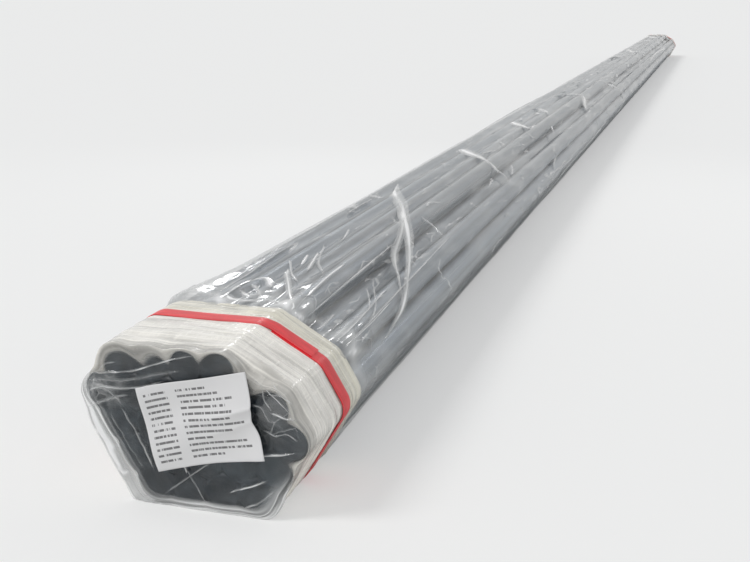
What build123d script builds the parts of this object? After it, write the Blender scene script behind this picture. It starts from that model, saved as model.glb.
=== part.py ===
"""A wrapped bundle of twenty-five round steel pipes, in millimetres, +Z up.

The pipes lie along Y, and the labelled end is at the low end of Y. The origin is under the middle of the
bundle, on the surface that it lies on. Every piece is laid out from the pipe's diameter, the rows that the
pipes lie in, and the thickness of each layer of wrapping.
"""

import os

from build123d import *

# Pipes
pipe_diameter = 25.4
pipe_wall = 1.0
pipe_length = 6000.0
pipe_gap = 0.3

# Rows of the stack, from the bottom: how many pipes, and how far the row's first pipe stands from the
# bottom row's first one, in pipe pitches. The stack leans to the left, as it was tied.
rows = ((4, 0.0), (5, -0.5), (6, -1.0), (6, -1.5), (4, -1.0))

# Black plastic cover drawn over the pipes at each end. It follows every pipe that it touches, and bridges
# the valleys between them.
cover_thickness = 0.5
cover_clearance = 0.3
cover_depth = 40.0
cover_valley_radius = 6.0

# Clear film, drawn over each end and laid as a sleeve round the body
film_thickness = 0.4
film_clearance = 0.3
end_film_depth = 60.0
film_joint_gap = 4.0

# Collar of milky stretch film wound round each end
collar_setback = 8.0
collar_length = 98.0
collar_thickness = 1.0
collar_clearance = 0.2

# Red strap round each collar
strap_setback = 62.0
strap_width = 15.5
strap_thickness = 0.6
strap_clearance = 0.2
weld_length = 34.0

# Paper label on the near end: how far it stands right of and above the middle of the end face
label_width = 84.0
label_height = 62.0
label_thickness = 0.2
label_clearance = 0.1
label_tilt = 14.0
label_right = 7.0
label_up = 8.0

# Pitch of the pipes, and the height of one row over the next
pitch = pipe_diameter + pipe_gap
row_height = pitch * 3**0.5 / 2

# Layers of wrapping, each given by how far its faces stand off the pipes
cover_outside = cover_clearance + cover_thickness
film_inside = cover_outside + film_clearance
film_outside = film_inside + film_thickness

collar_inside = film_outside + collar_clearance
collar_outside = collar_inside + collar_thickness
strap_inside = collar_outside + strap_clearance
strap_outside = strap_inside + strap_thickness
weld_outside = strap_outside + strap_thickness

# Axes of the pipes, as points across the bundle. The stack stands on its straps, and is as wide to the
# left of the origin as to the right.
leftmost = min(start for count, start in rows)
rightmost = max(start + count - 1 for count, start in rows)
middle = (leftmost + rightmost) / 2
lowest_axis = strap_outside + pipe_diameter / 2
axes = [
    ((start + place - middle) * pitch, lowest_axis + level * row_height)
    for level, (count, start) in enumerate(rows)
    for place in range(count)
]
face_middle = lowest_axis + (len(rows) - 1) * row_height / 2

# Axes of the pipes at the two ends of each row, which alone shape what is wrapped round the stack
last_of_row = [sum(count for count, start in rows[:level + 1]) - 1 for level in range(len(rows))]
row_ends = []
for last, (count, start) in zip(last_of_row, rows):
    row_ends += [axes[last - count + 1], axes[last]]

# Stations along the bundle, from the near end
near_end = -pipe_length / 2
cover_face = near_end - cover_outside
film_face = near_end - film_outside
body_start = near_end + end_film_depth + film_joint_gap
collar_start = near_end + collar_setback
strap_start = near_end + strap_setback


def across(y):
    """The plane across the bundle at y, seen from the near end. Solids grow from it by a minus amount."""
    return Plane.XZ.offset(-y)


def wrapped(stand_off):
    """The outline of a layer that is pulled tight round all the pipes, stand_off away from them."""
    with BuildSketch(mode=Mode.PRIVATE) as outline:
        with Locations(*row_ends):
            Circle(pipe_diameter / 2 + stand_off)
        make_hull()
    return outline.sketch


def lobed(stand_off):
    """The outline of a layer that sinks into the valleys between the pipes, stand_off away from them."""
    with BuildSketch(mode=Mode.PRIVATE) as outline:
        with Locations(*axes):
            Circle(pipe_diameter / 2 + stand_off)
        offset(amount=cover_valley_radius)
        offset(amount=-cover_valley_radius)
    return outline.sketch


os.makedirs("parts", exist_ok=True)

# Pipes, open from end to end
for number, axis in enumerate(axes, start=1):
    with BuildPart() as pipe:
        with BuildSketch(across(near_end)):
            with Locations(axis):
                Circle(pipe_diameter / 2)
                Circle(pipe_diameter / 2 - pipe_wall, mode=Mode.SUBTRACT)
        extrude(amount=-pipe_length)
    pipe.part.label = f"pipe_{number:02d}"
    export_step(pipe.part, f"parts/{pipe.part.label}.step")

# Cover: a black hood with a lobe for each outer pipe, open towards the body
with BuildPart() as end_cover_front:
    with BuildSketch(across(cover_face)):
        add(lobed(cover_outside))
    extrude(amount=cover_face - near_end - cover_depth)
    offset(amount=-cover_thickness, openings=end_cover_front.faces().sort_by(Axis.Y)[-1])
end_cover_front.part.label = "end_cover_front"
export_step(end_cover_front.part, "parts/end_cover_front.step")

# End film: a hood of clear film over the cover, drawn back along the pipes. Its chamfer is as large inside
# as its clearance, which clears the cover's corner, and larger outside by the slant of its wall.
film_edge = film_clearance + film_thickness * (2 - 2**0.5)
with BuildPart() as end_film_front:
    with BuildSketch(across(film_face)):
        add(wrapped(film_outside))
    extrude(amount=film_face - near_end - end_film_depth)
    chamfer(end_film_front.edges().group_by(Axis.Y)[0], length=film_edge)
    offset(amount=-film_thickness, openings=end_film_front.faces().sort_by(Axis.Y)[-1])
end_film_front.part.label = "end_film_front"
export_step(end_film_front.part, "parts/end_film_front.step")

# Body film: the sleeve over the pipes from collar to collar
with BuildPart() as body_film:
    with BuildSketch(across(body_start)):
        add(wrapped(film_outside))
        add(wrapped(film_inside), mode=Mode.SUBTRACT)
    extrude(amount=2 * body_start)
body_film.part.label = "body_film"
export_step(body_film.part, "parts/body_film.step")

# Collar: many turns of stretch film, wound tight
with BuildPart() as collar_front:
    with BuildSketch(across(collar_start)):
        add(wrapped(collar_outside))
        add(wrapped(collar_inside), mode=Mode.SUBTRACT)
    extrude(amount=-collar_length)
collar_front.part.label = "collar_front"
export_step(collar_front.part, "parts/collar_front.step")

# Strap: one turn round the collar. Its ends lap on the slope between the top row and the row below it.
crown = Vector(*axes[last_of_row[-1]])
shoulder = Vector(*axes[last_of_row[-2]])
lap_middle = (crown + shoulder) / 2
lap_angle = Vector(1, 0).get_signed_angle(shoulder - crown, Vector(0, 0, 1))
lap_reach = pipe_diameter / 2 + 2 * weld_outside
with BuildPart() as strap_front:
    with BuildSketch(across(strap_start)):
        add(wrapped(strap_outside))
        add(wrapped(strap_inside), mode=Mode.SUBTRACT)
    extrude(amount=-strap_width)
    with BuildSketch(across(strap_start)):
        add(wrapped(weld_outside))
        add(wrapped(strap_outside), mode=Mode.SUBTRACT)
        with Locations(Location((lap_middle.X, lap_middle.Y), lap_angle)):
            Rectangle(weld_length, lap_reach, align=(Align.CENTER, Align.MIN), mode=Mode.INTERSECT)
    extrude(amount=-strap_width)
strap_front.part.label = "strap_front"
export_step(strap_front.part, "parts/strap_front.step")

# The far end is wrapped like the near one, without a label
for front in (end_cover_front, end_film_front, collar_front, strap_front):
    with BuildPart() as back:
        mirror(front.part, about=Plane.XZ)
    back.part.label = front.part.label.replace("front", "back")
    export_step(back.part, f"parts/{back.part.label}.step")

# Label, stuck on the film of the near end
with BuildPart() as label:
    with BuildSketch(across(film_face - label_clearance)):
        with Locations(Location((label_right, face_middle + label_up), label_tilt)):
            Rectangle(label_width, label_height)
    extrude(amount=label_thickness)
label.part.label = "label"
export_step(label.part, "parts/label.step")
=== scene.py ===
"""Dresses the wrapped bundle of steel pipes: polished tube, black end covers, clear film, wound collars,
red straps and a paper label, on a pale floor. Lengths are in metres, in the frame of the CAD model."""

import math
from functools import partial

import bpy
import numpy as np
from bpy.props import FloatProperty, PointerProperty, StringProperty
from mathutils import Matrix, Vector, geometry


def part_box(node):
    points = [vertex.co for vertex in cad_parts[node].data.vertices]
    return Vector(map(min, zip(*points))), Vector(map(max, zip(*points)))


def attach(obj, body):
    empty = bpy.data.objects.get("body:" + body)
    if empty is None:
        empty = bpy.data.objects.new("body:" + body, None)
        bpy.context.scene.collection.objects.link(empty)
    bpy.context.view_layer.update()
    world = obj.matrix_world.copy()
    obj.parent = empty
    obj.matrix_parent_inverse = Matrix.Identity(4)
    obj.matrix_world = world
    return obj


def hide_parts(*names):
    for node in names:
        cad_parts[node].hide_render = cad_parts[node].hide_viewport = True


bl_info = {
    "name": "Pipe Bundle",
    "version": (1, 0, 0),
    "blender": (4, 5, 0),
    "location": "View3D > Sidebar > Pipe Bundle",
    "description": "Dresses a strapped and film-wrapped bundle of steel pipes",
    "category": "Add Mesh",
}

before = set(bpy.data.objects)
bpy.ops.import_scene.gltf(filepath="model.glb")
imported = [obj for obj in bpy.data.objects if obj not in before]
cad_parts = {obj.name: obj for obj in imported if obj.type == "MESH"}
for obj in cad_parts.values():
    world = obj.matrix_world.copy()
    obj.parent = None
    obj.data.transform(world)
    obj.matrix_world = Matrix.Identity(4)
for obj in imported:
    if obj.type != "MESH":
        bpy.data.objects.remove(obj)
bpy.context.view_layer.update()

MM = 0.001
NEAR, FAR = -1, 1
PIPES = sorted(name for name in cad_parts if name.startswith("pipe_"))


# Layout, read from the CAD model -------------------------------------

def middle_of(node):
    low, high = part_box(node)
    return (low.x + high.x) / 2, (low.z + high.z) / 2


AXES = np.array([middle_of(name) for name in PIPES])
RADIUS = (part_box(PIPES[0])[1].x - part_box(PIPES[0])[0].x) / 2
CENTRE = np.array([0.0, (AXES[:, 1].min() + AXES[:, 1].max()) / 2])
COVER_FACE, COVER_END = (corner.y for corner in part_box("end_cover_front"))
FILM_FACE, FILM_END = (corner.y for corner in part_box("end_film_front"))
BODY_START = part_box("body_film")[0].y
COLLAR_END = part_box("collar_front")[1].y
COLLAR_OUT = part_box("collar_front")[1].x - (AXES[:, 0].max() + RADIUS)

# How far the films and the collars lie off the pipes, and the least height of a soft piece over the floor
BODY_OFF = 0.7 * MM
COLLAR_OFF = 1.9 * MM
OVER_FLOOR = 0.3 * MM

# Radius at which the pleats of the body film are laid out flat, and the sum of the angles of a pleat and of its
# copy at the far end, in degrees
UNROLLED = 0.08
MIRRORED = 170

# Rows of bars on the label, and the share of the ink's colour in them
LABEL_ROWS = 14
INK_SHARE = 0.8

# How many points lie round each kind of piece, and how many short creases are strewn over the sleeve
COVER_POINTS = 420
HOOD_POINTS = 440
SLEEVE_POINTS = 180
COLLAR_POINTS = 400
STREWN_CREASES = 46


def full_turn(count):
    """So many angles, evenly round the bundle."""
    return np.linspace(0, 2 * np.pi, count, endpoint=False)


def outline(angles, stand_off):
    """Radii from the middle of the bundle, at each angle: of a layer pulled tight, and of one on every pipe."""
    out = RADIUS + stand_off
    turn = full_turn(120)
    rim = (AXES[:, None, :] - CENTRE + out * np.stack([np.cos(turn), np.sin(turn)], -1)).reshape(-1, 2)
    hull = rim[geometry.convex_hull_2d([tuple(point) for point in rim])]
    ahead = np.roll(hull, -1, axis=0) - hull
    ray = np.stack([np.cos(angles), np.sin(angles)], -1)
    cross = ray[:, None, 0] * ahead[:, 1] - ray[:, None, 1] * ahead[:, 0]
    cross = np.where(np.abs(cross) < 1e-12, 1e-12, cross)
    along = (hull[:, 0] * ahead[:, 1] - hull[:, 1] * ahead[:, 0]) / cross
    place = (hull[:, 0] * ray[:, None, 1] - hull[:, 1] * ray[:, None, 0]) / cross
    inside = (along > 0) & (place >= -1e-6) & (place <= 1 + 1e-6)
    tight = np.where(inside, along, 0).max(axis=1)
    offset = AXES - CENTRE
    dot = ray @ offset.T
    miss = (offset ** 2).sum(axis=1) - dot ** 2
    reach = np.where(miss < out ** 2, dot + np.sqrt(np.maximum(out ** 2 - miss, 0)), 0)
    return tight, reach.max(axis=1)


def blurred(values, width):
    """A closed ring of values, smoothed over that many neighbours each side."""
    kernel = np.hanning(2 * width + 3)[1:-1]
    kernel /= kernel.sum()
    return np.convolve(np.concatenate([values[-width:], values, values[:width]]), kernel, "valid")


def noise(across, along, period, seed):
    """Smooth random values from 0 to 1 on a grid of unit cells, which closes on itself after period cells across."""
    table = np.random.RandomState(seed).rand(period, 257)
    column, row = np.floor(across).astype(int), np.floor(along).astype(int)
    u, v = across - column, along - row
    u, v = u * u * (3 - 2 * u), v * v * (3 - 2 * v)
    a, b = table[column % period, row % 257], table[(column + 1) % period, row % 257]
    c, d = table[column % period, (row + 1) % 257], table[(column + 1) % period, (row + 1) % 257]
    return (a * (1 - u) + b * u) * (1 - v) + (c * (1 - u) + d * u) * v


def ridges(across, along, period, seed):
    """The same, as sharp crests from 0 in the hollows to 1 on the crest."""
    return (1 - np.abs(2 * noise(across, along, period, seed) - 1)) ** 3


def patterns(way, seed):
    """Two functions that give values round the bundle, where way is the share of a turn at each point: a smooth
    random mottle, and sharp crests. Each takes how many cells lie round it, the place along it in cells, and a number
    that tells the pattern from others."""
    def mottle(cells, along, number):
        return noise(way * cells, along + 0 * way, cells, seed + number)

    def crests(cells, along, number):
        return ridges(way * cells, along + 0 * way, cells, seed + number)

    return mottle, crests


def soft_step(value, low, high):
    t = np.clip((value - low) / (high - low), 0, 1)
    return t * t * (3 - 2 * t)


def hill(value, middle, width):
    """1 where the value is in the middle, falling off smoothly to nothing at about twice that width from it."""
    return np.exp(-((value - middle) / width) ** 2)


# Meshes --------------------------------------------------------------

def select_only(piece):
    bpy.ops.object.select_all(action="DESELECT")
    piece.select_set(True)
    bpy.context.view_layer.objects.active = piece


def face_outwards():
    """Turns the faces of the mesh that is being edited outwards, and leaves edit mode."""
    bpy.ops.mesh.select_all(action="SELECT")
    bpy.ops.mesh.normals_make_consistent(inside=False)
    bpy.ops.object.mode_set(mode="OBJECT")


def sheet_piece(name, patches, material, side=NEAR):
    """One piece from grids of points, laid out for the near end, and mirrored where the side is FAR. Each patch gives
    its points, and may say that its rows close round the bundle and that a pole closes its first row. It may give
    attributes for its points and the flat sheet's own coordinates."""
    vertices, faces, layers, flat, start = [], [], {}, [], 0
    keys = sorted({key for patch in patches for key in patch.get("layers", {})})
    for patch in patches:
        points = patch["points"] * (1, -side, 1)
        rows, columns = points.shape[:2]
        index = start + np.arange(rows * columns).reshape(rows, columns)
        closed = patch.get("closed", False)
        right = np.roll(index, -1, axis=1) if closed else index[:, 1:]
        left = index if closed else index[:, :-1]
        faces += np.stack([left[:-1], left[1:], right[1:], right[:-1]], -1).reshape(-1, 4).tolist()
        vertices.append(points.reshape(-1, 3))
        pole = patch.get("pole", False)
        if pole:
            faces += [[int(start + rows * columns), int(a), int(b)] for a, b in zip(left[0], right[0])]
            vertices.append(points[0].mean(axis=0, keepdims=True))
        for key in keys:
            values = np.broadcast_to(patch.get("layers", {}).get(key, 0.0), (rows, columns)).reshape(-1)
            layers.setdefault(key, []).append(np.append(values, values[:columns].mean()) if pole else values)
        if "flat" in patch:
            flat.append(patch["flat"].reshape(-1, 2))
        start += rows * columns + pole
    mesh = bpy.data.meshes.new(name)
    mesh.from_pydata(np.vstack(vertices).tolist(), [], faces)
    for key, values in layers.items():
        attribute = mesh.attributes.new(key, "FLOAT", "POINT")
        attribute.data.foreach_set("value", np.concatenate(values).astype(np.float32))
    if flat:
        corner = np.empty(len(mesh.loops), dtype=np.int32)
        mesh.loops.foreach_get("vertex_index", corner)
        mesh.uv_layers.new(name="UVMap").data.foreach_set("uv", np.vstack(flat)[corner].astype(np.float32).ravel())
    mesh.update()
    piece = bpy.data.objects.new(name, mesh)
    bpy.context.scene.collection.objects.link(piece)
    select_only(piece)
    bpy.ops.object.mode_set(mode="EDIT")
    face_outwards()
    bpy.ops.object.shade_smooth()
    mesh.materials.append(material)
    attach(piece, "root")
    return piece


def smooth_path(points, spacing):
    """A line drawn smoothly through its points, at about even spacing."""
    points = np.array(points, float)
    ends = np.vstack([2 * points[0] - points[1], points, 2 * points[-1] - points[-2]])
    drawn = []
    for a, b, c, d in zip(ends, ends[1:], ends[2:], ends[3:]):
        count = max(2, int(np.linalg.norm(c - b) / spacing))
        t = np.linspace(0, 1, count, endpoint=False)[:, None]
        bend, twist = 2 * a - 5 * b + 4 * c - d, 3 * b - a - 3 * c + d
        drawn.append(0.5 * (2 * b + (c - a) * t + bend * t ** 2 + twist * t ** 3))
    return np.vstack(drawn + [points[-1:]])


def directions(path):
    """Unit vectors along a line of points."""
    ahead = np.gradient(path, axis=0)
    return ahead / np.linalg.norm(ahead, axis=1)[:, None]


def pleat(path, across, out, width, white, seed):
    """A narrow fold of film along a path of points: a crest with a painted white highlight stands up between
    hazy flanks, and tapers.
    """
    count = len(path)
    along = np.linspace(0, 1, count)
    taper = np.minimum(1, np.minimum(along, 1 - along) * 7 + 0.12)
    half = width / 2 * taper * (0.75 + 0.5 * noise(along * count / 11, 0 * along, 97, seed))
    # Painted glint: the highlight grows and fades along the crest
    glint = taper * (0.45 + 0.9 * noise(along * count / 9 + 11, 0 * along + 3, 89, seed + 1))
    section = np.array([-1.0, -0.5, -0.11, 0.11, 0.5, 1.0])
    height = np.array([-0.2, 0.3, 0.9, 1.0, 0.4, -0.2]) * 0.8 * MM + 0.3 * MM
    # Painted highlight across the fold: white on the crest, little on the flanks
    bright = np.array([0.0, 0.16, 1.0, 0.95, 0.36, 0.0])
    aside = across[:, None] * (section * half[:, None])[..., None]
    up = out[:, None] * height[:, None]
    crease = np.clip(white * bright * glint[:, None], 0, 1)
    return {"points": path[:, None] + aside + up, "layers": {"crease": crease, "crumple": 0.1}}


def ring_points(angles, radii, y):
    """Points across the bundle at those angles and radii, at one y or at one for each. None lies under the floor."""
    x = CENTRE[0] + radii * np.cos(angles)
    z = np.maximum(CENTRE[1] + radii * np.sin(angles), OVER_FLOOR)
    return np.stack([x, np.broadcast_to(y, x.shape), z], -1)


# Materials -----------------------------------------------------------

def linear(hex_colour):
    """An sRGB hex value as linear red, green, blue and alpha."""
    value = [int(hex_colour[i:i + 2], 16) / 255 for i in (1, 3, 5)]
    return [c / 12.92 if c <= 0.04045 else ((c + 0.055) / 1.055) ** 2.4 for c in value] + [1.0]


# The setting of each kind of node that its first value gives, where that is a word
SETTINGS = {
    "Math": "operation", "VectorMath": "operation", "MapRange": "interpolation_type", "TexVoronoi": "feature",
    "TexWhiteNoise": "noise_dimensions", "Mix": "data_type", "Attribute": "attribute_name", "UVMap": "uv_map",
}


def add_node(tree, kind, *values, **named):
    """Adds a node. Values fill its first inputs in order, and a node given as a value stands for its first output. A
    name in lower case is one of the node's own settings, i6 is its input number 6, and any other name an input's."""
    node = tree.nodes.new("ShaderNode" + kind)
    if values and isinstance(values[0], str):
        setattr(node, SETTINGS[kind], values[0])
        values = values[1:]
    inputs = dict(enumerate(values))
    for name, value in named.items():
        if name[1:].isdigit():
            inputs[int(name[1:])] = value
        elif name.islower():
            setattr(node, name, value)
        else:
            inputs[name.replace("_", " ")] = value
    for key, value in inputs.items():
        if isinstance(value, bpy.types.Node):
            value = value.outputs[0]
        if isinstance(value, bpy.types.NodeSocket):
            tree.links.new(value, node.inputs[key])
        else:
            node.inputs[key].default_value = value
    return node


def start_material(name):
    """A new material without nodes, and add_node for its tree."""
    material = bpy.data.materials.new(name)
    material.use_nodes = True
    material.node_tree.nodes.clear()
    return material, partial(add_node, material.node_tree)


def scaled(add, *scale):
    """Object coordinates, stretched by a scale for each axis."""
    return add("Mapping", add("TexCoord").outputs["Object"], Scale=scale)


def polished_steel(colour):
    """Polished stainless tube, drawn and belt-polished: long bright and dull lines run along it, a few millimetres
    apart. They are partly polish marks and partly painted reflections of the surroundings, over broader painted
    bands."""
    material, add = start_material("polished_stainless_steel")
    lines = add("TexNoise", scaled(add, 260, 0.22, 260), Scale=1)
    painted_reflection_bands = add("TexNoise", scaled(add, 70, 0.3, 70), Scale=1, Detail=1)
    shade = add("Math", "ADD", lines, painted_reflection_bands)
    # Painted reflection: the metal's colour runs dull to bright along the lines and bands, for reflected surroundings
    tint = add("MapRange", shade, 0.7, 1.3, 0.48, 1.12)
    base = add("VectorMath", "SCALE", linear(colour)[:3], Scale=tint)
    rough = add("MapRange", lines, 0.3, 0.7, 0.27, 0.4)
    bump = add("Bump", Height=lines, Strength=0.06, Distance=0.0003)
    shader = add("BsdfPrincipled", Base_Color=base, Metallic=1, Roughness=rough, Normal=bump)
    add("OutputMaterial", Surface=shader)
    return material


def black_cover(colour, dusty_colour):
    """Black polythene sheet, blown and matt-glossy: fine creases a few millimetres long catch the light on it, with
    painted highlights on their crests and painted shade in their hollows, and patches some 30 mm across are paler
    with dust and rubbing."""
    material, add = start_material("black_polythene")
    crumple = add("TexNoise", scaled(add, 1, 1, 1), Scale=38, Detail=2.5, Distortion=1.2)
    bump = add("Bump", Height=crumple, Strength=0.3, Distance=0.004)
    # Painted highlight and shade: the colour follows the crease height, darker in the hollows, lighter on the crests
    tint = add("MapRange", crumple, 0.3, 0.7, 0.7, 1.35)
    base = add("VectorMath", "SCALE", linear(colour)[:3], Scale=tint)
    dust = add("TexNoise", scaled(add, 26, 26, 34), Scale=1, Detail=3, Roughness=0.6, Distortion=0.7)
    patch = add("MapRange", "SMOOTHSTEP", dust, 0.4, 0.72, 0, 0.7)
    base = add("Mix", "RGBA", Factor=patch, i6=base, i7=linear(dusty_colour))
    shader = add("BsdfPrincipled", Base_Color=base.outputs[2], Roughness=0.36, IOR=1.51, Normal=bump)
    add("OutputMaterial", Surface=shader)
    return material


def clear_film(name, colour, haze, edge_haze, stretch, runs):
    """Clear polythene film: nearly invisible where it lies flat, hazy where it is seen edge-on, and white along its
    creases, partly with crease haze and partly with painted highlights. Where it is crumpled they break it into
    facets some 15 mm across, each with its own haze as a painted sheen and with painted glints along its edges, and
    elsewhere a few run far along it as painted highlights, as strongly as runs says."""
    material, add = start_material(name)
    crease = add("Attribute", "crease").outputs["Fac"]
    crumple = add("Attribute", "crumple").outputs["Fac"]
    place = scaled(add, 1, stretch, 1)
    warp = add("TexNoise", place, Scale=70)
    offset = add("VectorMath", "SCALE", warp.outputs["Color"], Scale=0.0025)
    bent = add("VectorMath", "ADD", place, offset)
    coarse = add("TexVoronoi", "DISTANCE_TO_EDGE", bent, Scale=62)
    facet = add("TexVoronoi", bent, Scale=62)
    # Painted glints: white lines along the facet edges, and finer ones where the film is most crumpled
    line = add("MapRange", "SMOOTHSTEP", coarse, 0, 0.04, 0.85, 0)
    small = add("TexVoronoi", "DISTANCE_TO_EDGE", bent, Scale=130)
    thin = add("MapRange", "SMOOTHSTEP", small, 0, 0.09, 1, 0)
    dense = add("MapRange", crumple, 0.5, 1.1)
    thin = add("Math", "MULTIPLY", thin, dense)
    # Painted sheen: each facet gets its own whiteness
    painted_facet_sheen = add("MapRange", facet.outputs["Color"], 0.45, 1, 0, 0.5)
    glints = add("TexNoise", place, Scale=48)
    gate = add("MapRange", "SMOOTHSTEP", glints, 0.46, 0.62)
    lines = add("Math", "MAXIMUM", line, thin)
    lines = add("Math", "MULTIPLY", lines, gate)
    painted_glints_and_sheen = add("Math", "MAXIMUM", lines, painted_facet_sheen)
    crumpled = add("Math", "MULTIPLY", painted_glints_and_sheen, crumple)
    far = scaled(add, 1, stretch * 0.35, 1)
    sway = add("VectorMath", "MULTIPLY_ADD", warp.outputs["Color"], (0.02, 0.02, 0.02), far)
    # Painted highlights along a few long creases
    long = add("TexVoronoi", "DISTANCE_TO_EDGE", sway, Scale=17)
    run = add("MapRange", "SMOOTHSTEP", long, 0, 0.02, runs, 0)
    fine = add("TexNoise", far, Scale=75, Detail=3, Roughness=0.55, Distortion=0.6)
    shown = add("MapRange", "SMOOTHSTEP", warp, 0.44, 0.62)
    run = add("Math", "MULTIPLY", run, shown)
    streak = add("MapRange", fine, 0.35, 0.72, haze * 0.4, haze * 1.8)
    facing = add("LayerWeight", Blend=0.3)
    edge = add("Math", "MULTIPLY_ADD", facing.outputs["Facing"], edge_haze, streak)
    crease_haze_and_highlights = add("Math", "MAXIMUM", crease, crumpled)
    crease_haze_and_highlights = add("Math", "MAXIMUM", crease_haze_and_highlights, run)
    alpha = add("Math", "MULTIPLY_ADD", crease_haze_and_highlights, 0.85, edge, use_clamp=True)
    rise = add("Math", "MULTIPLY_ADD", coarse, crumple, fine)
    bump = add("Bump", Height=rise, Strength=0.4, Distance=0.0016)
    # Painted highlight: the colour turns white where the creases and glints are strongest
    crest = add("MapRange", "SMOOTHSTEP", crease_haze_and_highlights, 0.45, 0.95)
    base = add("Mix", "RGBA", Factor=crest, i6=linear(colour), i7=linear("#ffffff"))
    shader = add("BsdfPrincipled", Base_Color=base.outputs[2], Roughness=0.14, IOR=1.51, Alpha=alpha,
                 Normal=bump, Coat_Weight=1, Coat_Roughness=0.05)
    add("OutputMaterial", Surface=shader)
    return material


def wound_film(front_colour, back_colour):
    """Milky stretch film, wound in many turns: glossy white with fine lines round the bundle, and clearer where few
    turns lie."""
    material, add = start_material("wound_stretch_film")
    cover = add("Attribute", "turns").outputs["Fac"]
    back = add("Attribute", "behind").outputs["Fac"]
    edges = add("Attribute", "edges").outputs["Fac"]
    lines = add("TexNoise", scaled(add, 9, 620, 9), Scale=1, Detail=4, Roughness=0.65, Distortion=0.2)
    bands = add("TexNoise", scaled(add, 16, 130, 16), Scale=1, Distortion=0.5)
    cloud = add("TexNoise", scaled(add, 1, 1, 1), Scale=30, Distortion=0.8)
    colour = add("Mix", "RGBA", Factor=back, i6=linear(front_colour), i7=linear(back_colour))
    streak = add("MapRange", lines, 0.3, 0.7, 0.88, 1.03)
    patch = add("MapRange", bands, 0.3, 0.62, 0.85, 1.02)
    shade = add("Math", "MULTIPLY", streak, patch)
    soft = add("MapRange", "SMOOTHSTEP", cloud, 0.36, 0.6, 0.92, 1.06)
    shade = add("Math", "MULTIPLY", shade, soft)
    pulled = add("TexNoise", scaled(add, 330, 26, 330), Scale=1, Roughness=0.6)
    mark = add("MapRange", "SMOOTHSTEP", pulled, 0.56, 0.7, 0, 0.12)
    shade = add("Math", "ADD", shade, mark)
    shade = add("Math", "MULTIPLY_ADD", edges, 0.16, shade)
    shade = add("Math", "MINIMUM", shade, 1.1)
    base = add("VectorMath", "SCALE", colour.outputs[2], Scale=shade)
    thin = add("MapRange", bands, 0.3, 0.6, -0.22, 0.1)
    thin = add("Math", "MULTIPLY_ADD", edges, 0.2, thin)
    veil = add("Math", "MULTIPLY", thin, cover)
    alpha = add("Math", "ADD", cover, veil, use_clamp=True)
    rise = add("Math", "MULTIPLY_ADD", cloud, 1.5, lines)
    rise = add("Math", "MULTIPLY_ADD", bands, 2.5, rise)
    rise = add("Math", "ADD", pulled, rise)
    bump = add("Bump", Height=rise, Strength=0.6, Distance=0.0011)
    shader = add("BsdfPrincipled", Base_Color=base, Roughness=0.26, IOR=1.5, Alpha=alpha, Normal=bump,
                 Coat_Weight=1, Coat_Roughness=0.16)
    add("OutputMaterial", Surface=shader)
    return material


def strapping(colour):
    """Red polypropylene strap, rolled with a fine diamond emboss about 2 mm apart, which dulls its gloss."""
    material, add = start_material("red_polypropylene_strap")
    flat = add("UVMap", "UVMap")
    turned = add("Mapping", flat, Rotation=(0, 0, math.radians(45)), Scale=(700, 700, 700))
    diamonds = add("TexChecker", turned, Scale=1)
    wear = add("TexNoise", scaled(add, 60, 200, 60), Scale=1, Detail=3)
    tint = add("MapRange", wear, 0.35, 0.7, 0.85, 1.1)
    base = add("VectorMath", "SCALE", linear(colour)[:3], Scale=tint)
    bump = add("Bump", Height=diamonds.outputs[1], Strength=0.25, Distance=0.0002)
    shader = add("BsdfPrincipled", Base_Color=base, Roughness=0.34, IOR=1.49, Normal=bump)
    add("OutputMaterial", Surface=shader)
    return material


def label_paper(paper, ink):
    """Uncoated office paper, with two columns of plain grey bars in the place of print. The bars are no letters. The
    right edge of the bars is ragged, and a gap of a tenth of the width parts the columns."""
    material, add = start_material("printed_paper")
    flat = add("UVMap", "UVMap")
    part = add("SeparateXYZ", flat)
    row = add("Math", "MULTIPLY", part.outputs[1], LABEL_ROWS)
    number = add("Math", "FLOOR", row)
    within = add("Math", "FRACT", row)
    band = add("Math", "COMPARE", within, 0.5, 0.19)
    place = add("CombineXYZ", part, number)
    stretched = add("Mapping", place, Scale=(64, 5.37, 1))
    words = add("TexNoise", stretched, Scale=1)
    word = add("MapRange", words, 0.39, 0.46)
    lengths = add("TexWhiteNoise", "1D", W=number)
    stop = add("MapRange", lengths, 0, 1, 0.58, 0.96)
    before = add("Math", "LESS_THAN", part, stop)
    left = add("Math", "GREATER_THAN", part, 0.05)
    gutter = add("Math", "COMPARE", part, 0.3, 0.045)
    columns = add("Math", "SUBTRACT", 1, gutter)
    edge = add("Math", "COMPARE", part.outputs[1], 0.5, 0.42)
    mask = band
    for other in (word, before, left, columns, edge, INK_SHARE):
        mask = add("Math", "MULTIPLY", mask, other)
    fibre = add("TexNoise", scaled(add, 1, 1, 1), Scale=900, Detail=3)
    bump = add("Bump", Height=fibre, Strength=0.08, Distance=0.0002)
    base = add("Mix", "RGBA", Factor=mask, i6=linear(paper), i7=linear(ink))
    shader = add("BsdfPrincipled", Base_Color=base.outputs[2], Roughness=0.62, IOR=1.45, Normal=bump)
    add("OutputMaterial", Surface=shader)
    return material
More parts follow.
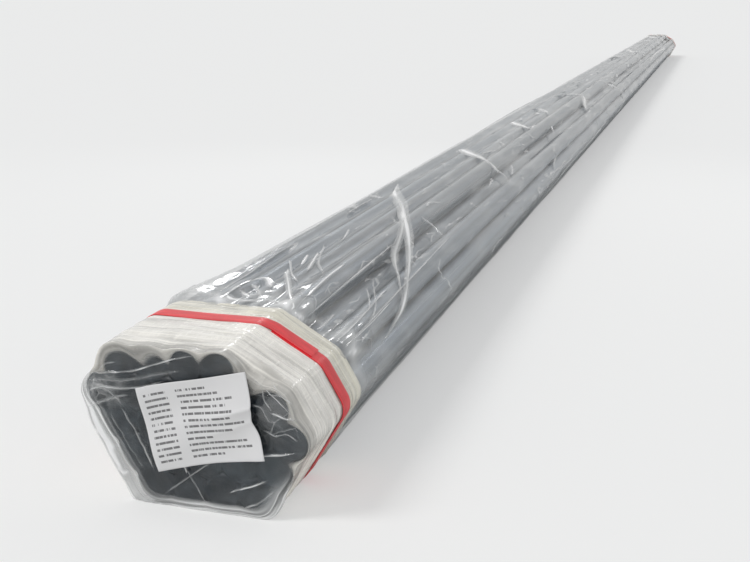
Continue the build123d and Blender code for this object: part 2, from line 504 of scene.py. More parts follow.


# Pieces --------------------------------------------------------------

# Pleats of the film over the near face: points in millimetres right of and above its middle, the pleat's
# width in millimetres, and how white its painted highlight is.
FACE_PLEATS = [
    ([(-80, 34), (-64, 36), (-46, 39), (-31, 44), (-15, 50), (2, 55)], 2.2, 0.8),
    ([(-81, 29), (-65, 30), (-48, 32), (-30, 37), (-8, 43)], 3.4, 0.28),
    ([(-80, 25), (-62, 25), (-46, 26), (-34, 29), (-20, 35)], 2.4, 0.6),
    ([(-82, 20), (-72, 24), (-62, 21), (-55, 13)], 3.6, 0.55),
    ([(-82, 8), (-74, 12), (-62, 17), (-49, 21)], 3.2, 0.45),
    ([(-56, 12), (-51, 3), (-44, -7), (-40, -16), (-32, -34)], 2.6, 0.8),
    ([(-65, 6), (-58, -6), (-49, -21), (-39, -34)], 2, 0.4),
    ([(-9, -25), (-8, -29), (-7, -33)], 2.4, 0.95),
    ([(-24, -50), (-10, -39), (0, -31), (15, -20)], 1.8, 0.42),
    ([(-8, -28), (-1, -39), (8, -53)], 1.8, 0.5),
    ([(25, -43), (36, -38), (44, -35), (55, -29)], 2.6, 1),
    ([(36, -53), (48, -47), (60, -36)], 2.2, 0.6),
    ([(45, -14), (55, -11), (66, -9), (76, -6)], 2.4, 1),
    ([(46, 44), (52, 38), (54, 29), (59, 22)], 2, 0.55),
    ([(53, 38), (61, 31), (67, 27), (73, 20)], 2, 0.75),
    ([(56, 33), (66, 33), (74, 28)], 1.8, 0.6),
    ([(58, 21), (66, 18), (77, 17)], 2.4, 0.95),
    ([(45, 25), (52, 22), (57, 13)], 1.8, 0.6),
    ([(52, 8), (60, 4), (70, 6), (78, 2)], 1.8, 0.5),
    ([(60, 42), (64, 36), (70, 30)], 1.6, 0.7),
    ([(-72, 36), (-66, 42), (-58, 44)], 1.8, 0.4),
]

# Pleats of the body film: angle round the bundle in degrees from the right and millimetres along the film from its
# near end, then width in millimetres and the whiteness of its painted highlight.
BODY_PLEATS = [
    ([(131, 610), (120, 540), (95, 466), (69, 389), (50, 338), (36, 289), (25, 233), (16, 189), (12, 154),
      (10, 130)], 13, 0.95),
    ([(74, 404), (60, 345), (48, 285), (34, 243), (26, 218), (16, 200)], 10, 0.55),
    ([(131, 935), (103, 883), (61, 810), (42, 800), (30, 790)], 13, 0.9),
    ([(62, 424), (45, 420), (32, 417)], 8, 0.6),
    ([(118, 54), (115, 70), (120, 96), (118, 114), (108, 118), (94, 86)], 6.5, 1),
    ([(115, 104), (104, 85), (93, 60)], 4.6, 0.95),
    ([(121, 68), (111, 52), (101, 47), (90, 52)], 6.5, 1),
    ([(116, 81), (105, 64), (98, 60)], 4.2, 0.9),
    ([(92, 54), (76, 50), (66, 45), (64, 53), (76, 79), (98, 127), (110, 159)], 4.6, 1),
    ([(84, 50), (73, 48), (63, 46)], 8, 0.9),
    ([(119, 189), (102, 153), (84, 119)], 3, 0.75),
    ([(72, 85), (65, 82), (66, 105), (68, 146), (69, 188)], 3.2, 0.95),
    ([(101, 175), (107, 200), (112, 223)], 3.6, 0.95),
    ([(89, 159), (96, 187), (105, 223)], 4.6, 1),
    ([(99, 272), (111, 329)], 3.2, 0.7),
    ([(130, 163), (125, 152)], 4, 0.9),
    ([(73, 144), (93, 198), (111, 256)], 3, 0.4),
    ([(121, 62), (128, 136), (131, 208), (131, 258)], 4, 0.6),
    ([(41, 46), (41, 60), (42, 88)], 3.2, 0.8),
    ([(20, 70), (21, 91)], 3.6, 0.8),
    ([(29, 128), (35, 154), (42, 170)], 2.8, 0.7),
    ([(130, 401), (131, 452), (130, 497)], 4, 0.7),
    ([(24, 50), (24, 120), (25, 176)], 2.6, 0.75),
    ([(44, 191), (30, 150), (25, 114)], 3, 0.55),
    ([(29, 49), (30, 120), (32, 199)], 2.4, 0.7),
    ([(53, 49), (56, 207), (58, 327)], 2, 0.6),
    ([(24, 45), (26, 184), (30, 415)], 2, 0.5),
    ([(122, 1320), (106, 1280), (70, 1220)], 10, 0.7),
    ([(122, 1530), (110, 1560), (84, 1500)], 10, 0.6),
    ([(36, 1750), (70, 1920), (108, 1900), (120, 1860)], 14, 0.6),
    ([(160, 400), (196, 520), (236, 600)], 7, 0.6),
    ([(172, 1500), (212, 1420), (250, 1560)], 9, 0.5),
    ([(-40, 900), (-10, 1400), (0, 1900)], 6, 0.4),
    ([(150, 900), (140, 1500), (146, 2200)], 6, 0.4),
    ([(-20, 2300), (20, 2420), (60, 2360)], 12, 0.5),
]


def wrapped(degrees):
    """How far the wound film folds over the rim at each angle: all the way on the top and right, not elsewhere."""
    return 1 - soft_step(degrees, 150, 174) * (1 - soft_step(degrees, 322, 350))


def rim_radii(angles, stand_off, sink):
    """Radii of a layer that sinks a share of the way into the valleys between the pipes."""
    tight, lobes = outline(angles, stand_off)
    depth = tight - lobes
    eased = blurred(depth, max(2, len(angles) // 90))
    return tight - np.minimum(depth, sink * eased)


def build_cover(name, node, side, seed, material):
    """Black hood over the pipe ends. Each pipe's rim shows through a little, and it dips into the bores and gaps."""
    angles = full_turn(COVER_POINTS)
    rim = rim_radii(angles, 0.55 * MM, 0.4 + 0.5 * wrapped(np.degrees(angles)))
    centres = AXES - CENTRE
    rings = []
    for share in np.linspace(0.012, 1, 84):
        radii = rim * share - 0.6 * MM * (share > 0.985)
        x, z = radii * np.cos(angles), radii * np.sin(angles)
        gap = np.hypot(x[:, None] - centres[:, 0], z[:, None] - centres[:, 1]).min(axis=1)
        rise = hill(gap, RADIUS - 0.8 * MM, 1.8 * MM) * 0.5 * MM
        dip = 0.5 * MM * soft_step(-gap, -RADIUS + 2 * MM, -RADIUS + 9 * MM)
        dip += 1.2 * MM * soft_step(gap, RADIUS, RADIUS + 2 * MM)
        crumple = noise(x / (11 * MM) + 40, z / (11 * MM) + 40, 97, seed) * 0.6 * MM
        y = COVER_FACE + 0.7 * MM - rise + (dip + crumple) * (1 - share ** 8)
        rings.append(ring_points(angles, radii, np.minimum(y, COVER_FACE + 2.2 * MM)))
    # Down the sides of the pipes
    for y in np.linspace(COVER_FACE + 0.9 * MM, COVER_END - 1 * MM, 14):
        rings.append(ring_points(angles, rim, y))
    piece = sheet_piece(name, [{"points": np.array(rings), "closed": True, "pole": True}], material, side)
    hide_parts(node)


def build_end_film(name, node, side, seed, material, pleats):
    """Clear hood over the black cover. It is drawn in between the pipes on the top and right. On the left and below
    it spans them, and its hem is gathered into a flared fold that stands off the pipes."""
    angles = full_turn(HOOD_POINTS)
    degrees, way = np.degrees(angles), angles / (2 * np.pi)
    wrap = wrapped(degrees)
    mottle, crests = patterns(way, seed)
    rim = rim_radii(angles, 1.3 * MM, 0.1 + 0.45 * wrap)
    flare = (8.5 * soft_step(degrees, 158, 186) * (1 - soft_step(degrees, 226, 250)) + 3) * MM * (1 - wrap)
    flare = flare * (0.72 + 0.5 * mottle(14, 0, 5))

    def height(x, z, share):
        """How far the film stands off the face, in millimetres, at a place given in millimetres."""
        tall = 0.9 * ridges(x / 19 + z / 60 + 50, z / 13 + 50, 97, seed)
        tall += 0.5 * noise(x / 6 + 60, z / 6 + 60, 101, seed + 1)
        return 0.2 + tall * share * (1 - soft_step(share, 0.78, 0.95))

    # The face, from its middle to the rim. It is crumpled right and left of the label.
    rows, haze_and_painted_highlight, crumple = [], [], []
    for share in np.concatenate([np.linspace(0.012, 0.80, 76), np.linspace(0.81, 1, 34)]):
        radii = rim * share
        x, z = radii * np.cos(angles) / MM, radii * np.sin(angles) / MM
        right = hill(x, 64, 19) * hill(z, 24, 19)
        left = hill(x, -70, 16) * hill(z, 24, 11)
        facets = ridges(x / 9 + 50, z / 7 + 50, 97, seed + 6)
        tall = height(x, z, share) + 1.4 * (right + left) * facets
        # Whiteness: random haze and a hazier rim, with painted highlights on the crumpled facets right and left of
        # the label
        pale = 0.04 * soft_step(noise(x / 26 + 31, z / 15 + 37, 79, seed + 2), 0.42, 0.9)
        pale += 0.05 * soft_step(share, 0.7, 1)
        pale = np.maximum(pale, 0.65 * left * facets + 0.28 * right * facets ** 2)
        fold = crests(5, 30 * share + 2 * way, 3)
        hem = (1 - wrap) * soft_step(share, 0.86, 0.97)
        # The gathered hem is hazier, with painted highlights on its folds
        pale = np.maximum(pale, hem * (0.28 + 0.72 * fold))
        rows.append(ring_points(angles, radii, FILM_FACE + (0.25 - tall - 0.5 * hem * fold) * MM))
        haze_and_painted_highlight.append(pale)
        crumple.append(np.clip(0.06 + 0.8 * right + 0.6 * left + 0.2 * hem, 0, 1))
    # The hem, which folds back over the rim
    for step in np.linspace(0.03, 1, 26):
        fold = crests(5, 7.5 * step + 2 * way, 7) * (1 - wrap)
        glint = crests(26, 3 * step, 8)
        crease = crests(9, 9 * step - 3 * way, 9) ** 2
        out = flare * np.sin(np.pi * step ** 0.72) ** 0.8
        raised = 0.9 * (fold + crease * (1 - wrap)) * MM * math.sin(math.pi * step)
        y = FILM_FACE + ((1.2 * wrap + 13 * (1 - wrap)) * step ** 1.25 + 0.2) * MM
        rows.append(ring_points(angles, rim + out + raised, y))
        # Painted highlights on the hem's folds, creases and glints, over its haze
        haze_and_painted_highlight.append((0.27 + 0.75 * fold + 0.45 * glint ** 2 + 0.9 * crease) * (1 - wrap) + 0.12)
        crumple.append(0.1 + 0.25 * (1 - wrap))
    # The rest of it, which lies under the collar
    last = rows[-1][:, 1]
    for step in np.linspace(0, 1, 24)[1:]:
        wrinkle = np.maximum(crests(40, 3 * step, 4) - 0.4, 0) * (1 - soft_step(step, 0.1, 0.3))
        rows.append(ring_points(angles, rim + 0.7 * MM * wrinkle, last + step * (FILM_END - last)))
        haze_and_painted_highlight.append(0.12 + 0 * angles)
        crumple.append(0.1 + 0 * angles)
    layers = {"crease": np.clip(np.array(haze_and_painted_highlight), 0, 1), "crumple": np.array(crumple)}
    patches = [{"points": np.array(rows), "closed": True, "pole": True, "layers": layers}]
    for number, (line, width, white) in enumerate(pleats):
        path = smooth_path(line, 0.8)
        path += noise(np.arange(len(path)) / 7, 0 * path[:, 0], 97, seed + number)[:, None] - 0.5
        x, z = path.T
        y = FILM_FACE - height(x, z, 0.6) * MM
        ahead = directions(path)
        points = np.stack([CENTRE[0] + x * MM, y, CENTRE[1] + z * MM], -1)
        across = np.stack([-ahead[:, 1], 0 * x, ahead[:, 0]], -1)
        out = np.tile([0, -1, 0], (len(path), 1))
        patches.append(pleat(points, across, out, width * MM, white, seed + 50 + number))
    piece = sheet_piece(name, patches, material, side)
    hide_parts(node)


def body_stations():
    """Stations along the body film, close together near both ends and wide apart in the middle."""
    near, y, gap = [], 0, 0.0030
    while y < 1.25:
        near.append(y)
        y += gap
        gap = min(gap * 1.014, 0.024)
    length = -2 * BODY_START
    middle = list(np.linspace(y, length - y, int((length - 2 * y) / 0.034)))
    return np.array(near + middle + [length - value for value in reversed(near)])


def short_creases():
    """Short creases strewn over the upper side of the sleeve, laid out as BODY_PLEATS is, but in metres along it."""
    draw = np.random.RandomState(77)
    creases = []
    for _ in range(STREWN_CREASES):
        angle, place = draw.uniform(-30, 128), draw.uniform(0.5, 2.85)
        turn, reach, bend = draw.uniform(-17, 17), draw.uniform(-0.06, 0.06), draw.uniform(-5, 5)
        line = [(angle, place), (angle + turn / 2 + bend, place + reach / 2), (angle + turn, place + reach)]
        creases.append((line, draw.uniform(3, 6.5), draw.uniform(0.35, 0.95)))
    return creases


def build_body_film(sizes, material):
    """Loose clear sleeve over the pipes: it follows them, bridges the valleys, and is crumpled behind each collar,
    with painted glints on the upper left of the crumples.
    """
    angles = full_turn(SLEEVE_POINTS)
    stations = body_stations()
    tight, lobes = outline(angles, BODY_OFF)
    depth = tight - lobes
    eased = blurred(depth, 2)
    way = angles / (2 * np.pi)
    mottle, crests = patterns(way, 0)
    upper = 0.3 + 0.7 * soft_step(np.sin(angles), -0.5, 0.6)
    left = 0.35 + 0.65 * soft_step(-np.cos(angles - 0.9), -0.3, 0.8)
    radii, haze_and_painted_highlight, crumpled = [], [], []
    for place in stations:
        from_end = min(place, stations[-1] - place)
        held = 1 - soft_step(from_end, 0.028, 0.05)
        near = (1 - held) * hill(max(from_end, 0.05), 0.05, 0.085)
        behind = (1 - held) * hill(max(from_end, 0.045), 0.045, 0.035)
        sag = 0.25 + 0.65 * mottle(9, place / 0.42, 11)
        film = tight - np.minimum(depth, sag * eased * (1 - held))
        loose = sizes.slack * upper * (0.2 + 0.8 * mottle(5, place / 0.3, 12)) * (1 - held)
        swell = 5 * MM * near * upper * (0.25 + mottle(7, place / 0.06, 13))
        long = crests(30, place / 0.2 + way * 9, 14)
        cross = ridges(way * 16 + place / 0.09, place / 0.07, 16, 15)
        facet = ridges(way * 30 + place / 0.05, place / 0.03, 30, 16)
        facet += 0.7 * ridges(way * 22 - place / 0.06, place / 0.045, 22, 17)
        patchy = soft_step(mottle(6, place / 0.12, 20), 0.45, 0.8)
        lift = (0.7 * long + 0.7 * cross * patchy) * MM * (1 - held) + 2.6 * MM * facet * near * upper * left
        radii.append(film + loose + swell + lift)
        # Painted highlights: whitened crests, and bright painted glints on the crumples behind the collar, upper left
        # only
        haze_and_painted_highlight.append(np.clip(0.16 * long ** 2 + 0.1 * patchy * cross + 1.9 * behind * upper * left * facet, 0, 1))
        # The crumple mask also sets where the film's shader paints glints, most on the upper left behind the collar
        pulled = (0.7 * near + 0.9 * behind) * upper * left + (0.3 * near + 0.1 * (1 - held)) * patchy
        crumpled.append(np.clip(0.04 + pulled, 0, 1.3))
    radii = np.array(radii)
    rows = np.array([ring_points(angles, row, BODY_START + place) for row, place in zip(radii, stations)])
    layers = {"crease": np.array(haze_and_painted_highlight), "crumple": np.array(crumpled)}
    patches = [{"points": rows, "closed": True, "layers": layers}]
    length = stations[-1]
    pleats = [([(a, b / 1000) for a, b in line], width, white) for line, width, white in BODY_PLEATS]
    for number, (line, width, white) in enumerate(pleats + short_creases()):
        # A pleat at the near end has a copy at the far end
        for mirrored in (False, True):
            spots = [(MIRRORED - a if mirrored else a, b) for a, b in line]
            path = smooth_path([(math.radians(a) * UNROLLED, b) for a, b in spots], 0.004)
            path[:, 1] += (noise(np.arange(len(path)) / 14, 0 * path[:, 0], 97, 300 + number) - 0.5) * 0.012
            turn, place = path[:, 0] / UNROLLED, np.maximum(path[:, 1], 0.03)
            if mirrored:
                place = length - place
            column = (turn / (2 * np.pi) % 1) * SLEEVE_POINTS
            row = np.interp(place, stations, np.arange(len(stations)))
            c, r = column.astype(int), np.minimum(row.astype(int), len(stations) - 2)
            fc, fr = column - c, row - r
            taut = np.interp(turn, angles, tight, period=2 * np.pi)
            here, beside = c % SLEEVE_POINTS, (c + 1) % SLEEVE_POINTS
            low, high = (radii[r + up, here] * (1 - fc) + radii[r + up, beside] * fc for up in (0, 1))
            radius = np.maximum(low * (1 - fr) + high * fr, taut)
            radius = np.convolve(np.pad(radius, 6, "edge"), np.ones(13) / 13, "valid")
            out = np.stack([np.cos(turn), 0 * turn, np.sin(turn)], -1)
            points = ring_points(turn, radius, BODY_START + place)
            patches.append(pleat(points, np.cross(directions(points), out), out, width * MM, white, 400 + number))
    piece = sheet_piece("body_film_sleeve", patches, material)
    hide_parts("body_film")


def build_collar(name, node, side, seed, material):
    """Wound stretch film. On the top and right it folds over the rim of the face into the valleys, and everywhere it
    runs back under the strap in slanting turns, whose edges show as lines, and ends ragged."""
    angles = full_turn(COLLAR_POINTS)
    degrees, way = np.degrees(angles), angles / (2 * np.pi)
    wrap = wrapped(degrees)
    mottle, crests = patterns(way, seed)
    tight, lobes = outline(angles, COLLAR_OFF)
    valley = blurred(tight - lobes, 3)
    rim = rim_radii(angles, COLLAR_OFF, 0.1 + 0.25 * wrap)
    ragged = mottle(46, 0, 0) - 0.5
    lip = valley + (1.2 + 2.6 * soft_step(mottle(9, 0, 1), 0.4, 0.9) + 1.4 * ragged) * MM
    lip = wrap * (lip + 9 * MM * hill(degrees, 132, 22)) + 0.2 * MM
    front = FILM_FACE + (14 * (1 - wrap) - 0.8) * MM
    # The lip over the rim of the face
    rows, turns, behind, edges = [], [], [], []
    for step in np.linspace(0, 1, 16):
        rows.append(ring_points(angles, rim - lip * (1 - step), front + 0.3 * MM * ragged * (1 - step)))
        shreds = mottle(24, 3 * step, 2)
        turns.append((0.42 * step + 0.42 * shreds * (0.3 + step)) * soft_step(step, -0.08, 0.2))
        edges.append(0.5 * crests(24, 3 * step, 11))
        behind.append(0 * angles)
    # The turns round the pipes: along is how far they lie from the face, in millimetres
    back = COLLAR_END + 1.6 * MM * (mottle(23, 0, 3) - 0.7)
    right = hill((degrees - 170) % 360, 180, 30)
    for step in np.linspace(0, 1, 150):
        start = front + 0.5 * MM
        y = start + step * (back - start)
        along = (y - FILM_FACE) / MM
        tied = hill(along, 70, 12)
        build = soft_step(along, 1, 18)
        outside = tight + (COLLAR_OUT - COLLAR_OFF) * build
        radii = rim * (1 - build) + outside * build
        slant = 0.25 * mottle(6, along / 40, 9)
        wind, cross = (along / 15 + way + slant) % 1, (along / 23 - 2 * way + slant) % 1
        edge = hill(np.minimum(wind, 1 - wind), 0, 0.045)
        edge += 0.8 * hill(np.minimum(cross, 1 - cross), 0, 0.03)
        wrinkle = crests(7, along / 3.1, 4) * mottle(11, along / 17, 10)
        crush = mottle(26, along / 11, 8) - 0.5
        pucker = crests(60, along / 30, 5) * 0.5 * hill(along, 55, 9)
        swell = 1.9 * (noise(way * 9 + slant, along / 8, 9, seed + 14) - 0.5)
        swell += 0.9 * (mottle(22, along / 5, 15) - 0.5)
        layer = (0.22 * (1 - wind) + 0.16 * (1 - cross) + 0.75 * wrinkle + 0.45 * crush + swell + pucker - 0.4) * MM
        radii = radii + layer * (1 - 0.85 * tied) * (0.25 + 0.75 * build)
        rows.append(ring_points(angles, radii, y))
        thin = 0.16 * right * mottle(17, along / 14, 12)
        uneven = 0.16 * (mottle(13, along / 9, 6) - 0.5)
        turns.append(0.62 + 0.42 * soft_step(along, 2, 20) + uneven - thin)
        edges.append(np.clip(edge * (1 - tied) + 0.7 * wrinkle, 0, 1))
        behind.append(soft_step(along, 78, 80))
    # The ragged end, drawn in to the film
    middle = np.array([CENTRE[0], 0, CENTRE[1]])
    rows.append(middle + (rows[-1] - middle) * (0.988, 1, 0.988))
    for values in (turns, edges, behind):
        values.append(values[-1])
    layers = {"turns": np.clip(np.array(turns), 0, 1), "behind": np.array(behind), "edges": np.array(edges)}
    patch = {"points": np.array(rows), "closed": True, "layers": layers}
    piece = sheet_piece(name, [patch], material, side)
    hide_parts(node)


def build_strap(name, node, side, seed, sizes, material):
    """One turn of strap whose end lies welded on its start, on the slope right of the top."""
    angles = full_turn(1440)
    tight = outline(angles, COLLAR_OUT + 0.1 * MM)[0]
    x, z = tight * np.cos(angles), tight * np.sin(angles)
    run = np.concatenate([[0], np.cumsum(np.hypot(np.diff(x, append=x[0]), np.diff(z, append=z[0])))])
    total = run[-1]
    around = np.append(angles, 2 * np.pi)
    low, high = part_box("strap_front")
    width = high.y - low.y
    lap_at = math.atan2(AXES[-1][1] + RADIUS - CENTRE[1] - 12 * MM, AXES[-1][0] + 26 * MM)
    start = np.interp(lap_at % (2 * np.pi), around, run) + sizes.weld / 2
    places = np.linspace(0, total + sizes.weld, 420)
    angle = np.interp((start - places) % total, run, around)
    radius = np.interp(angle, angles, tight, period=2 * np.pi)
    lap = soft_step(places, total - 9 * MM, total)
    wander = 1.1 * MM * np.sin(angle * 2 + seed) + 0.5 * MM * np.sin(angle * 5 + seed)
    across = np.array([-0.5, -0.47, 0.47, 0.5, 0.5, 0.47, 0.2, -0.2, -0.47, -0.5]) * width
    up = np.array([0.15, 0, 0, 0.15, 0.85, 1, 1, 1, 1, 0.85])
    r = radius[:, None] + (up + lap[:, None] * 1.15) * sizes.thickness
    y = (low.y + high.y) / 2 + across + (wander + 1.5 * MM * lap)[:, None]
    x, z = CENTRE[0] + r * np.cos(angle[:, None]), CENTRE[1] + r * np.sin(angle[:, None])
    points = np.stack([x, y, np.maximum(z, 0.05 * MM)], -1)
    flat = np.stack(np.broadcast_arrays(places[:, None], across + up * sizes.thickness), -1)
    piece = sheet_piece(name, [{"points": points, "closed": True, "flat": flat}], material, side)
    select_only(piece)
    bpy.ops.object.mode_set(mode="EDIT")
    bpy.ops.mesh.select_all(action="DESELECT")
    bpy.ops.mesh.select_mode(type="EDGE")
    bpy.ops.mesh.select_non_manifold()
    bpy.ops.mesh.edge_face_add()
    face_outwards()
    bpy.ops.object.shade_smooth_by_angle(angle=math.radians(40))
    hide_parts(node)


def build_label(sizes, material):
    """Paper label stuck on the film, cockled by the folds under it, with its right edge kinked."""
    tilt = math.radians(sizes.tilt)
    low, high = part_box("label")
    centre = (low + high) / 2
    u, v = np.meshgrid(np.linspace(0, 1, 76), np.linspace(0, 1, 58))
    kink = -3 * MM * hill(v, 0.45, 0.13) * soft_step(u, 0.72, 1)
    x = (u - 0.5) * sizes.width + kink
    z = (v - 0.5) * sizes.height + 0.5 * MM * np.sin(u * 5)
    wave = 1.1 * np.sin(u * 7.5 + v * 3 + 0.6) + 0.9 * np.sin(v * 8.5 - u * 4)
    wave += 2.6 * np.exp(-np.abs(v - 0.46 - 0.14 * u) / 0.07) * soft_step(u, 0.1, 0.9)
    wave += np.exp(-np.abs(v - 0.2 - 0.25 * u) / 0.05) * soft_step(u, 0.3, 0.7)
    curl = 1.8 * soft_step(u, 0.8, 1) * soft_step(1 - v, 0.5, 1) + 1 * soft_step(1 - u, 0.85, 1)
    y = high.y - (3.3 + wave + curl) * MM
    across = x * math.cos(tilt) - z * math.sin(tilt)
    up = x * math.sin(tilt) + z * math.cos(tilt)
    patch = {"points": np.stack([centre[0] + across, y, centre[2] + up], -1), "flat": np.stack([u, v], -1)}
    piece = sheet_piece("label_paper_sheet", [patch], material)
    thicken = piece.modifiers.new("paper", "SOLIDIFY")
    thicken.thickness, thicken.offset = 0.15 * MM, 0
    select_only(piece)
    bpy.ops.object.modifier_apply(modifier=thicken.name)
    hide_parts("label")


# Floor: width in metres, colour, and the share of plain white that the camera sees in place of its shading
FLOOR_WIDTH = 400
FLOOR_COLOUR = "#f2f2f0"
FLOOR_WHITE = 0.4

# Background: the colour and strength of its light, and the colour that the camera and reflections see
SKY_COLOUR = "#f6f8fb"
SKY_STRENGTH = 0.55
BACKDROP_COLOUR = "#ececeb"

# Sun: turns about the axes in degrees, strength, and the angle in degrees that it seems wide
SUN_TURNS = (38, -18, -30)
SUN_STRENGTH = 1.2
SUN_WIDTH = 20

# Small lamps that glint on the film: place, what each points at, width in metres and power in watts
LAMPS = (
    ((-0.9, -3.6, 1), (0, -2.95, 0.08), 0.14, 0.6),
    ((-0.5, -1.4, 0.75), (0, -2.9, 0.1), 0.12, 0.6),
    ((0.5, -1.4, 0.85), (0, -2.9, 0.1), 0.12, 0.6),
)

# Camera: place, tilt up from straight down and turn to the left in degrees, lens in millimetres, and the nearest and
# farthest that it sees in metres
CAMERA_PLACE = (0.325, -3.621, 0.352)
CAMERA_UPRIGHT = 75
CAMERA_TURN = 17.4
CAMERA_LENS = 51.5
CAMERA_RANGE = (0.02, 500)


# User's settings -----------------------------------------------------

class PipeBundleColours(bpy.types.PropertyGroup):
    steel: StringProperty(name="Steel", description="Colour of the polished pipes", default="#838c96")
    cover: StringProperty(name="Cover", description="Colour of the end covers", default="#141d24")
    dusty_cover: StringProperty(
        name="Dusty cover", description="Colour of the rubbed patches on the end covers", default="#4b545a")
    film: StringProperty(
        name="Film", description="Colour of the haze and creases of the clear film", default="#dedfde")
    collar: StringProperty(name="Collar", description="Colour of the wound film before the strap", default="#fffbf2")
    collar_back: StringProperty(
        name="Collar behind strap", description="Colour of the wound film behind the strap", default="#efead8")
    strap: StringProperty(name="Strap", description="Colour of the strap", default="#f0222e")
    paper: StringProperty(name="Paper", description="Colour of the label", default="#e5e4e4")
    ink: StringProperty(name="Ink", description="Colour of the bars on the label", default="#3a3a3c")


class PipeBundleSizes(bpy.types.PropertyGroup):
    slack: FloatProperty(
        name="Film slack", description="How far the body film stands off the pipes where it is loose",
        default=2.2 * MM, subtype="DISTANCE")
    weld: FloatProperty(
        name="Strap lap", description="Length over which the strap's ends lap", default=34 * MM, subtype="DISTANCE")
    thickness: FloatProperty(
        name="Strap thickness", description="Thickness of the strap", default=0.6 * MM, subtype="DISTANCE")
    width: FloatProperty(
        name="Label width", description="Width of the paper label", default=84 * MM, subtype="DISTANCE")
    height: FloatProperty(
        name="Label height", description="Height of the paper label", default=62 * MM, subtype="DISTANCE")
    tilt: FloatProperty(
        name="Label tilt", description="How far the label is turned anticlockwise, in degrees", default=14.0)


class PIPES_OT_steel(bpy.types.Operator):
    """Give the pipes their polished finish"""

    bl_idname = "pipe_bundle.steel"
    bl_label = "Finish Pipes"

    def execute(self, context):
        material = polished_steel(context.scene.pipe_bundle_colours.steel)
        for name in PIPES:
            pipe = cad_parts[name]
            pipe.data.materials.clear()
            pipe.data.materials.append(material)
        return {"FINISHED"}


class PIPES_OT_covers(bpy.types.Operator):
    """Draw the black covers over both ends of the pipes"""

    bl_idname = "pipe_bundle.covers"
    bl_label = "Add End Covers"

    def execute(self, context):
        colours = context.scene.pipe_bundle_colours
        material = black_cover(colours.cover, colours.dusty_cover)
        build_cover("end_cover_hood_front", "end_cover_front", NEAR, 21, material)
        build_cover("end_cover_hood_back", "end_cover_back", FAR, 22, material)
        return {"FINISHED"}


class PIPES_OT_films(bpy.types.Operator):
    """Lay the clear film over both ends and along the body"""

    bl_idname = "pipe_bundle.films"
    bl_label = "Add Clear Films"

    def execute(self, context):
        colour = context.scene.pipe_bundle_colours.film
        end = clear_film("clear_end_film", colour, haze=0.014, edge_haze=0.11, stretch=1, runs=0)
        build_end_film("end_film_hood_front", "end_film_front", NEAR, 31, end, FACE_PLEATS)
        build_end_film("end_film_hood_back", "end_film_back", FAR, 32, end, FACE_PLEATS[:12])
        body = clear_film("clear_body_film", colour, haze=0.07, edge_haze=0.42, stretch=0.35, runs=0.5)
        build_body_film(context.scene.pipe_bundle_sizes, body)
        return {"FINISHED"}


class PIPES_OT_collars(bpy.types.Operator):
    """Wind the milky stretch film round both ends"""

    bl_idname = "pipe_bundle.collars"
    bl_label = "Add Collars"

    def execute(self, context):
        colours = context.scene.pipe_bundle_colours
        material = wound_film(colours.collar, colours.collar_back)
        build_collar("collar_winding_front", "collar_front", NEAR, 41, material)
        build_collar("collar_winding_back", "collar_back", FAR, 42, material)
        return {"FINISHED"}


class PIPES_OT_straps(bpy.types.Operator):
    """Tie the red straps round the collars"""

    bl_idname = "pipe_bundle.straps"
    bl_label = "Add Straps"

    def execute(self, context):
        material = strapping(context.scene.pipe_bundle_colours.strap)
        sizes = context.scene.pipe_bundle_sizes
        build_strap("strap_band_front", "strap_front", NEAR, 1, sizes, material)
        build_strap("strap_band_back", "strap_back", FAR, 2, sizes, material)
        return {"FINISHED"}


class PIPES_OT_label(bpy.types.Operator):
    """Stick the paper label on the near end"""

    bl_idname = "pipe_bundle.label"
    bl_label = "Add Label"

    def execute(self, context):
        colours = context.scene.pipe_bundle_colours
        build_label(context.scene.pipe_bundle_sizes, label_paper(colours.paper, colours.ink))
        return {"FINISHED"}


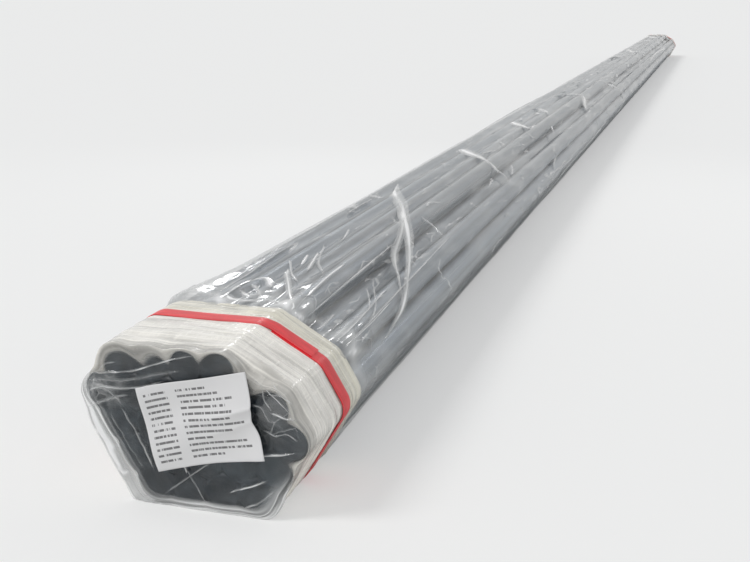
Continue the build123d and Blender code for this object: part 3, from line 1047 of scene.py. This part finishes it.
class PIPES_OT_stage(bpy.types.Operator):
    """Set the floor, lights, background and camera"""

    bl_idname = "pipe_bundle.stage"
    bl_label = "Set Stage"

    def execute(self, context):
        scene = context.scene
        scene.view_settings.view_transform = "Standard"
        bpy.ops.object.select_all(action="DESELECT")
        bpy.ops.mesh.primitive_plane_add(size=FLOOR_WIDTH, location=(0, 0, 0))
        floor = context.active_object
        floor.name = "floor"
        material, add = start_material("pale_floor")
        path = add("LightPath")
        seen = add("Math", "MAXIMUM", path.outputs["Is Camera Ray"], path.outputs["Is Transmission Ray"])
        share = add("Math", "MULTIPLY", seen, FLOOR_WHITE)
        plain = add("BsdfDiffuse", Color=linear(FLOOR_COLOUR))
        white = add("Emission", Strength=1)
        add("OutputMaterial", Surface=add("MixShader", share, plain, white))
        floor.data.materials.append(material)

        world = bpy.data.worlds.new("studio")
        scene.world = world
        world.use_nodes = True
        world.node_tree.nodes.clear()
        add = partial(add_node, world.node_tree)
        path = add("LightPath")
        seen = add("Math", "MAXIMUM", path.outputs["Is Camera Ray"], path.outputs["Is Glossy Ray"])
        seen = add("Math", "MAXIMUM", seen, path.outputs["Is Transmission Ray"])
        light = add("Background", Color=linear(SKY_COLOUR), Strength=SKY_STRENGTH)
        white = add("Background", Color=linear(BACKDROP_COLOUR), Strength=1)
        both = add("MixShader", seen, light, white)
        add("OutputWorld", Surface=both)

        bpy.ops.object.light_add(type="SUN", rotation=[math.radians(turn) for turn in SUN_TURNS])
        sun = context.active_object
        sun.data.energy, sun.data.angle = SUN_STRENGTH, math.radians(SUN_WIDTH)
        for place, aim, size, energy in LAMPS:
            towards = (Vector(aim) - Vector(place)).to_track_quat("-Z", "Y").to_euler()
            bpy.ops.object.light_add(type="AREA", location=place, rotation=towards)
            lamp = context.active_object
            lamp.data.size, lamp.data.energy = size, energy

        upright, turn = math.radians(CAMERA_UPRIGHT), math.radians(CAMERA_TURN)
        bpy.ops.object.camera_add(location=CAMERA_PLACE, rotation=(upright, 0, turn))
        camera = context.active_object
        camera.data.lens = CAMERA_LENS
        camera.data.clip_start, camera.data.clip_end = CAMERA_RANGE
        scene.camera = camera
        return {"FINISHED"}


class PIPES_PT_panel(bpy.types.Panel):
    bl_label = "Pipe Bundle"
    bl_idname = "PIPES_PT_panel"
    bl_space_type = "VIEW_3D"
    bl_region_type = "UI"
    bl_category = "Pipe Bundle"

    def draw(self, context):
        layout = self.layout
        for group in (context.scene.pipe_bundle_colours, context.scene.pipe_bundle_sizes):
            for key in group.__annotations__:
                layout.prop(group, key)
        for operator in OPERATORS:
            layout.operator(operator.bl_idname)


OPERATORS = (
    PIPES_OT_steel, PIPES_OT_covers, PIPES_OT_films, PIPES_OT_collars, PIPES_OT_straps, PIPES_OT_label,
    PIPES_OT_stage,
)
CLASSES = (PipeBundleColours, PipeBundleSizes) + OPERATORS + (PIPES_PT_panel,)


def register():
    for cls in CLASSES:
        bpy.utils.register_class(cls)
    bpy.types.Scene.pipe_bundle_colours = PointerProperty(type=PipeBundleColours)
    bpy.types.Scene.pipe_bundle_sizes = PointerProperty(type=PipeBundleSizes)


def unregister():
    del bpy.types.Scene.pipe_bundle_colours
    del bpy.types.Scene.pipe_bundle_sizes
    for cls in reversed(CLASSES):
        bpy.utils.unregister_class(cls)


def main():
    register()
    bpy.ops.pipe_bundle.steel()
    bpy.ops.pipe_bundle.covers()
    bpy.ops.pipe_bundle.films()
    bpy.ops.pipe_bundle.collars()
    bpy.ops.pipe_bundle.straps()
    bpy.ops.pipe_bundle.label()
    bpy.ops.pipe_bundle.stage()


if __name__ == "__main__":
    main()
